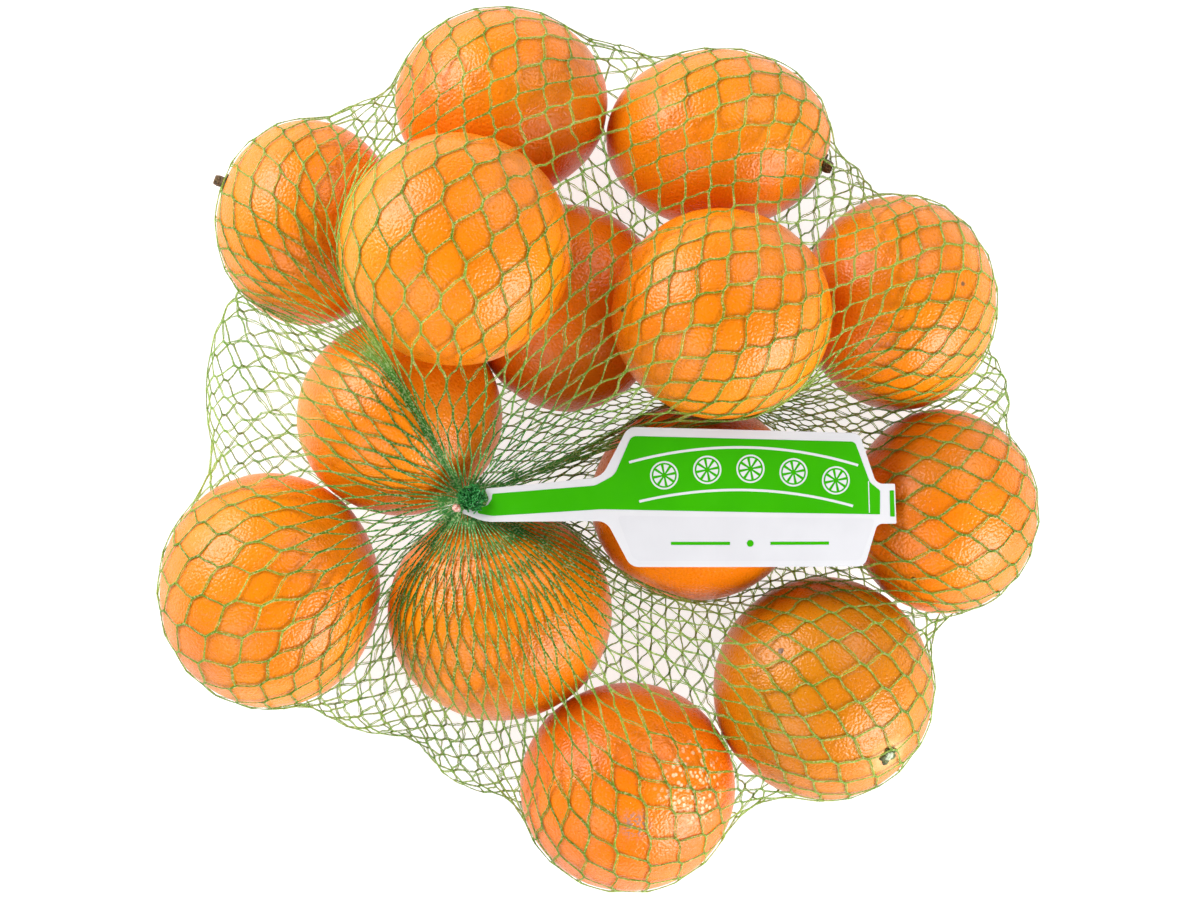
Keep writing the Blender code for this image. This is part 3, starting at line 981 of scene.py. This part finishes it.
class OBJECT_OT_net_oranges_tuft(bpy.types.Operator):
    """Make the ragged tuft of cut yarn over the gather"""

    bl_idname = "object.net_oranges_tuft"
    bl_label = "Tuft"

    def execute(self, context):
        chance = np.random.default_rng(5)
        angle = chance.uniform(0.0, 2.0 * math.pi, TUFT_FIBRES)
        share = np.sqrt(chance.uniform(0.0, 1.0, TUFT_FIBRES))
        cut = chance.uniform(0.8, 1.0, TUFT_FIBRES) * (1.0 - 0.16 * share**2)
        lines = []
        for level, spread in zip(TUFT_LEVELS, TUFT_SPREAD):
            rise = level * cut
            ring = spread * share * (1.0 + 0.12 * np.sin(5.0 * angle))
            curl = TUFT_CURL * level**2
            x = GATHER[0] + TUFT_LEAN[0] * rise**1.5 + ring * np.cos(angle)
            y = GATHER[1] + TUFT_LEAN[1] * rise**1.5 + ring * np.sin(angle)
            x += chance.normal(0, curl, TUFT_FIBRES)
            y += chance.normal(0, curl, TUFT_FIBRES)
            lines.append(np.stack([x, y, GATHER[2] + TUFT_HEIGHT * rise], axis=1))
        mesh = fibre_mesh("tuft_yarns", np.stack(lines, axis=1), *TUFT_SECTION, chance)
        finished_piece("tuft_yarns", mesh, tuft_material(), "net_strands", "net_tuft")
        return {"FINISHED"}


# The weld.

WELD_RADIUS = 0.0012
WELD_PLACE = Vector((-0.0026, -0.0023, 0.0034))


class OBJECT_OT_net_oranges_weld(bpy.types.Operator):
    """Make the small melted bead that holds the strap to the gathered net"""

    bl_idname = "object.net_oranges_weld"
    bl_label = "Weld"

    def execute(self, context):
        melted = Nodes("melted_film").mottled(
            1200.0, 3.0, 0.15, (0.6, 0.2, 0.13), (0.86, 0.62, 0.55), (0.2, 0.4), 0.0001
        )
        shape = bmesh.new()
        bmesh.ops.create_icosphere(shape, subdivisions=4, radius=WELD_RADIUS)
        middle = Vector(GATHER) + WELD_PLACE
        for vertex in shape.verts:
            way = vertex.co.normalized()
            lump = 1.0 + 0.34 * noise.noise(way * 1.9 + Vector((4.0, 1.0, 2.0)))
            vertex.co = middle + vertex.co * lump
        finished_piece("weld", mesh_from(shape, "weld"), melted, "melted_film", "weld_bead")
        return {"FINISHED"}


# The label.


def film_layer(name, outline, level, thickness, cut_step):
    """A flat field with the given outline, bent to lie on the label at a level over its underside."""
    shape = bmesh.new()
    shape.faces.new([shape.verts.new((x, y, 0.0)) for x, y in outline])
    low, high = outline.min(axis=0), outline.max(axis=0)
    for axis, step in ((0, cut_step), (1, cut_step * 2.5)):
        way = tuple(1.0 if axis == at else 0.0 for at in range(3))
        for place in np.arange(low[axis] + step / 2.0, high[axis], step):
            bmesh.ops.bisect_plane(
                shape,
                geom=shape.verts[:] + shape.edges[:] + shape.faces[:],
                plane_co=tuple(place * part for part in way),
                plane_no=way,
            )
    bmesh.ops.triangulate(shape, faces=[face for face in shape.faces if len(face.verts) > 4])
    for vertex in shape.verts:
        x, y = vertex.co.x, vertex.co.y
        height = float(label_height(np.float64(x), np.float64(y)))
        vertex.co = (x + LABEL_MIDDLE[0], y + LABEL_MIDDLE[1], height + level)
    for face in shape.faces:
        if face.normal.z < 0.0:
            face.normal_flip()
    bmesh.ops.solidify(shape, geom=shape.faces[:], thickness=thickness)
    return mesh_from(shape, name, smooth=False)


def film_material(name, colour, second, gloss=0.13):
    """Printed glossy film with faint cloudiness and slight waves."""
    nodes = Nodes(name)
    cloud = nodes.ranged(nodes.noise(70.0, detail=3.0), 0.3, 0.7)
    return nodes.set(
        Base_Color=nodes.blend(cloud, colour, second),
        Roughness=nodes.ranged(nodes.noise(240.0, detail=2.0), 0.3, 0.7, gloss, gloss + 0.09),
        Normal=nodes.bump(nodes.noise(60.0, detail=1.0), 0.0006, 0.35),
    )


GREEN_CORNERS = (
    (-0.0766, 0.0012, 0.0006), (-0.046, 0.0037, 0.004), (-0.0402, 0.0068, 0.005),
    (-0.0352, 0.0184, 0.0022), (0.0312, 0.0167, 0.0018), (0.0358, 0.0046, 0.0035),
    (0.0389, 0.0022, 0.001), (0.0389, -0.0049, 0.0002), (-0.044, -0.0033, 0.01),
    (-0.0766, -0.0054, 0.006), (-0.0815, -0.0046, 0.0006), (-0.0802, -0.003, 0.0006),
    (-0.0779, -0.0021, 0.0012), (-0.0768, -0.0004, 0.001),
)
TAIL_PATCH_CORNERS = (
    (0.0418, 0.0022, 0.0002), (0.0431, 0.0022, 0.0002), (0.0434, -0.0056, 0.0002),
    (0.042, -0.0056, 0.0002),
)
PALE_CORNERS = (
    (-0.0395, -0.0052, 0.001), (0.0375, -0.0062, 0.001), (0.033, -0.0186, 0.0022),
    (-0.0345, -0.0186, 0.003),
)
SLOT_CORNERS = (
    (0.0352, 0.005, 0.0001), (0.0355, 0.005, 0.0001), (0.0358, -0.0044, 0.0001),
    (0.0355, -0.0044, 0.0001),
)


def band(points, width):
    """The outline of a line of even width through points of the label's plane."""
    points = np.array(points)
    along = np.gradient(points, axis=0)
    along /= np.linalg.norm(along, axis=1)[:, None]
    across = np.stack([-along[:, 1], along[:, 0]], axis=1) * width / 2.0
    return np.concatenate([points + across, (points - across)[::-1]])


def arc_through(left, middle, right, steps=36):
    """Points of the parabola through three points (x, y)."""
    curve = np.polyfit([left[0], middle[0], right[0]], [left[1], middle[1], right[1]], 2)
    x = np.linspace(left[0], right[0], steps)
    return np.stack([x, np.polyval(curve, x)], axis=1)


def on_circle(centre, radius, angles):
    """Points of a circle at the given angles."""
    return np.array(centre) + radius * np.stack([np.cos(angles), np.sin(angles)], axis=1)


def disc(centre, radius, steps=48):
    """The outline of a round field."""
    return on_circle(centre, radius, np.linspace(0.0, 2.0 * math.pi, steps, endpoint=False))


def wedge(centre, radius, start, sweep):
    """One segment of a slice of fruit."""
    heart = on_circle(centre, 0.22 * radius, np.array([start + sweep / 2.0]))
    rim = on_circle(centre, radius, np.linspace(start + 0.13, start + sweep - 0.13, 7))
    return np.concatenate([heart, rim])


def joined(meshes, name):
    """One mesh from several."""
    shape = bmesh.new()
    for mesh in meshes:
        shape.from_mesh(mesh)
        bpy.data.meshes.remove(mesh)
    return mesh_from(shape, name, smooth=False)


class OBJECT_OT_net_oranges_label(bpy.types.Operator):
    """Make the printed film with its strap, panel and tail"""

    bl_idname = "object.net_oranges_label"
    bl_label = "Label"

    upper_arc = ((-0.0359, 0.0106), (-0.0004, 0.015), (0.0322, 0.0097))
    lower_arc = ((-0.0329, -0.001), (-0.0004, 0.0024), (0.0307, -0.0024))
    slice_places = (-0.0255, -0.0128, 0.0, 0.0128, 0.0255)
    slice_radius = 0.0042

    def layer(self, name, outlines, step, material):
        """A printed field made of one or more outlines, some layers above the film."""
        settings = bpy.context.scene.net_oranges_label
        level = settings.thickness + settings.print_lift * (step + 1)
        meshes = [
            film_layer(name, outline, level, settings.print_lift * 0.7, settings.cut_step)
            for outline in outlines
        ]
        finished_piece(name, joined(meshes, name), material, "printed_film", "label")

    def slices(self):
        """Centres of the row of slices, half-way between the two arcs."""
        upper = np.polyfit(*np.array(self.upper_arc).T, 2)
        lower = np.polyfit(*np.array(self.lower_arc).T, 2)
        return [(x, (np.polyval(upper, x) + np.polyval(lower, x)) / 2.0) for x in self.slice_places]

    def execute(self, context):
        settings = context.scene.net_oranges_label
        white = film_material("film_white", (0.655, 0.655, 0.68), (0.685, 0.685, 0.71))
        green = film_material("print_green", (0.034, 0.375, 0.001), (0.039, 0.405, 0.001))
        pale = film_material("print_pale", (0.625, 0.625, 0.655), (0.655, 0.655, 0.685))
        mesh = film_layer(
            "label_film", rounded(LABEL_CORNERS), settings.thickness, settings.thickness, settings.cut_step
        )
        finished_piece("label_film", mesh, white, "printed_film", "label")
        self.layer("print_pale_panel", [rounded(PALE_CORNERS)], 0, pale)
        self.layer("print_green_field", [rounded(GREEN_CORNERS), rounded(TAIL_PATCH_CORNERS)], 1, green)
        centres = self.slices()
        arcs = [band(arc_through(*arc), 0.00075) for arc in (self.upper_arc, self.lower_arc)]
        rinds = [disc(centre, self.slice_radius) for centre in centres]
        self.layer("print_white_lines", [*arcs, rounded(SLOT_CORNERS, 2), *rinds], 2, white)
        self.layer("print_green_slices", [disc(c, self.slice_radius - 0.0005) for c in centres], 3, green)
        sweep = 2.0 * math.pi / 8.0
        wedges = [
            wedge(centre, self.slice_radius - 0.001, sweep * part + 0.2, sweep)
            for centre in centres
            for part in range(8)
        ]
        self.layer("print_white_segments", wedges, 4, white)
        bars = [
            band([(-0.0235, -0.0134), (-0.006, -0.0134)], 0.0009),
            disc((0.0, -0.0134), 0.001),
            band([(0.006, -0.0134), (0.0235, -0.0134)], 0.0009),
        ]
        self.layer("print_green_bars", bars, 2, green)
        return {"FINISHED"}


# Camera, light and table.

FRUIT_MIDDLE = Vector((0.0, 0.0, 0.03))
TABLE_SIZE = 3.0
TABLE_DROP = 0.0004


class OBJECT_OT_net_oranges_stage(bpy.types.Operator):
    """Set up the white table, the soft lights and the camera"""

    bl_idname = "object.net_oranges_stage"
    bl_label = "Stage"

    def area(self, name, place, size, watts):
        """A soft light turned to the middle of the fruit."""
        light = bpy.data.lights.new(name, "AREA")
        light.shape = "RECTANGLE"
        light.size, light.size_y = size
        light.energy = watts
        lamp = linked(name, light)
        lamp.location = place
        lamp.rotation_mode = "QUATERNION"
        lamp.rotation_quaternion = (FRUIT_MIDDLE - Vector(place)).to_track_quat("-Z", "Y")

    def execute(self, context):
        settings = context.scene.net_oranges_stage
        shape = bmesh.new()
        bmesh.ops.create_grid(shape, x_segments=2, y_segments=2, size=TABLE_SIZE)
        for vertex in shape.verts:
            vertex.co.z = -TABLE_DROP
        nodes = Nodes("white_table")
        tone = nodes.ranged(nodes.noise(3.0), 0.3, 0.7)
        nodes.set(
            Base_Color=nodes.blend(tone, (0.42, 0.42, 0.42), (0.44, 0.44, 0.44)),
            Roughness=0.9,
            Emission_Color=(1.0, 1.0, 1.0),
            Emission_Strength=settings.floor_glow,
        )
        mesh = mesh_from(shape, "table")
        mesh.materials.append(nodes.material)
        linked("table", mesh)
        self.area("light_left", (-1.05, 0.8, 0.62), (1.1, 0.9), settings.side_power)
        self.area("light_right", (1.05, -0.85, 0.55), (1.1, 0.8), settings.side_power)
        self.area("light_back", (0.75, 0.95, 0.95), (0.9, 0.9), settings.fill_power)
        self.area("light_front", (-0.75, -0.95, 0.95), (0.9, 0.9), settings.fill_power)
        world = bpy.data.worlds.new("studio")
        world.use_nodes = True
        background = world.node_tree.nodes["Background"].inputs
        background["Color"].default_value = (1.0, 1.0, 1.0, 1.0)
        background["Strength"].default_value = 0.05
        context.scene.world = world
        camera = bpy.data.cameras.new("camera")
        camera.sensor_width = 36.0
        camera.lens = settings.lens
        camera.clip_start, camera.clip_end = 0.05, 20.0
        context.scene.camera = linked("camera", camera)
        context.scene.camera.location = (0.0, 0.0, settings.camera_height)
        context.scene.view_settings.view_transform = "Standard"
        return {"FINISHED"}


class VIEW3D_PT_net_oranges(bpy.types.Panel):
    """Lists the operators in the sidebar"""

    bl_label = "Net of oranges"
    bl_idname = "VIEW3D_PT_net_oranges"
    bl_space_type = "VIEW_3D"
    bl_region_type = "UI"
    bl_category = "Oranges"

    def draw(self, context):
        for operator in OPERATORS:
            self.layout.operator(operator.bl_idname)


SETTINGS = {
    "net_oranges_peel": PeelSettings,
    "net_oranges_net": NetSettings,
    "net_oranges_label": LabelSettings,
    "net_oranges_stage": StageSettings,
}
OPERATORS = (
    OBJECT_OT_net_oranges_fruit,
    OBJECT_OT_net_oranges_stems,
    OBJECT_OT_net_oranges_net,
    OBJECT_OT_net_oranges_tuft,
    OBJECT_OT_net_oranges_weld,
    OBJECT_OT_net_oranges_label,
    OBJECT_OT_net_oranges_stage,
)


def register():
    for group in SETTINGS.values():
        bpy.utils.register_class(group)
    for operator in OPERATORS:
        bpy.utils.register_class(operator)
    bpy.utils.register_class(VIEW3D_PT_net_oranges)
    for name, group in SETTINGS.items():
        setattr(bpy.types.Scene, name, bpy.props.PointerProperty(type=group))


def unregister():
    for name in SETTINGS:
        delattr(bpy.types.Scene, name)
    bpy.utils.unregister_class(VIEW3D_PT_net_oranges)
    for operator in reversed(OPERATORS):
        bpy.utils.unregister_class(operator)
    for group in reversed(SETTINGS.values()):
        bpy.utils.unregister_class(group)


def main():
    register()
    bpy.ops.object.net_oranges_fruit()
    bpy.ops.object.net_oranges_stems()
    bpy.ops.object.net_oranges_net()
    bpy.ops.object.net_oranges_tuft()
    bpy.ops.object.net_oranges_weld()
    bpy.ops.object.net_oranges_label()
    bpy.ops.object.net_oranges_stage()


if __name__ == "__main__":
    main()
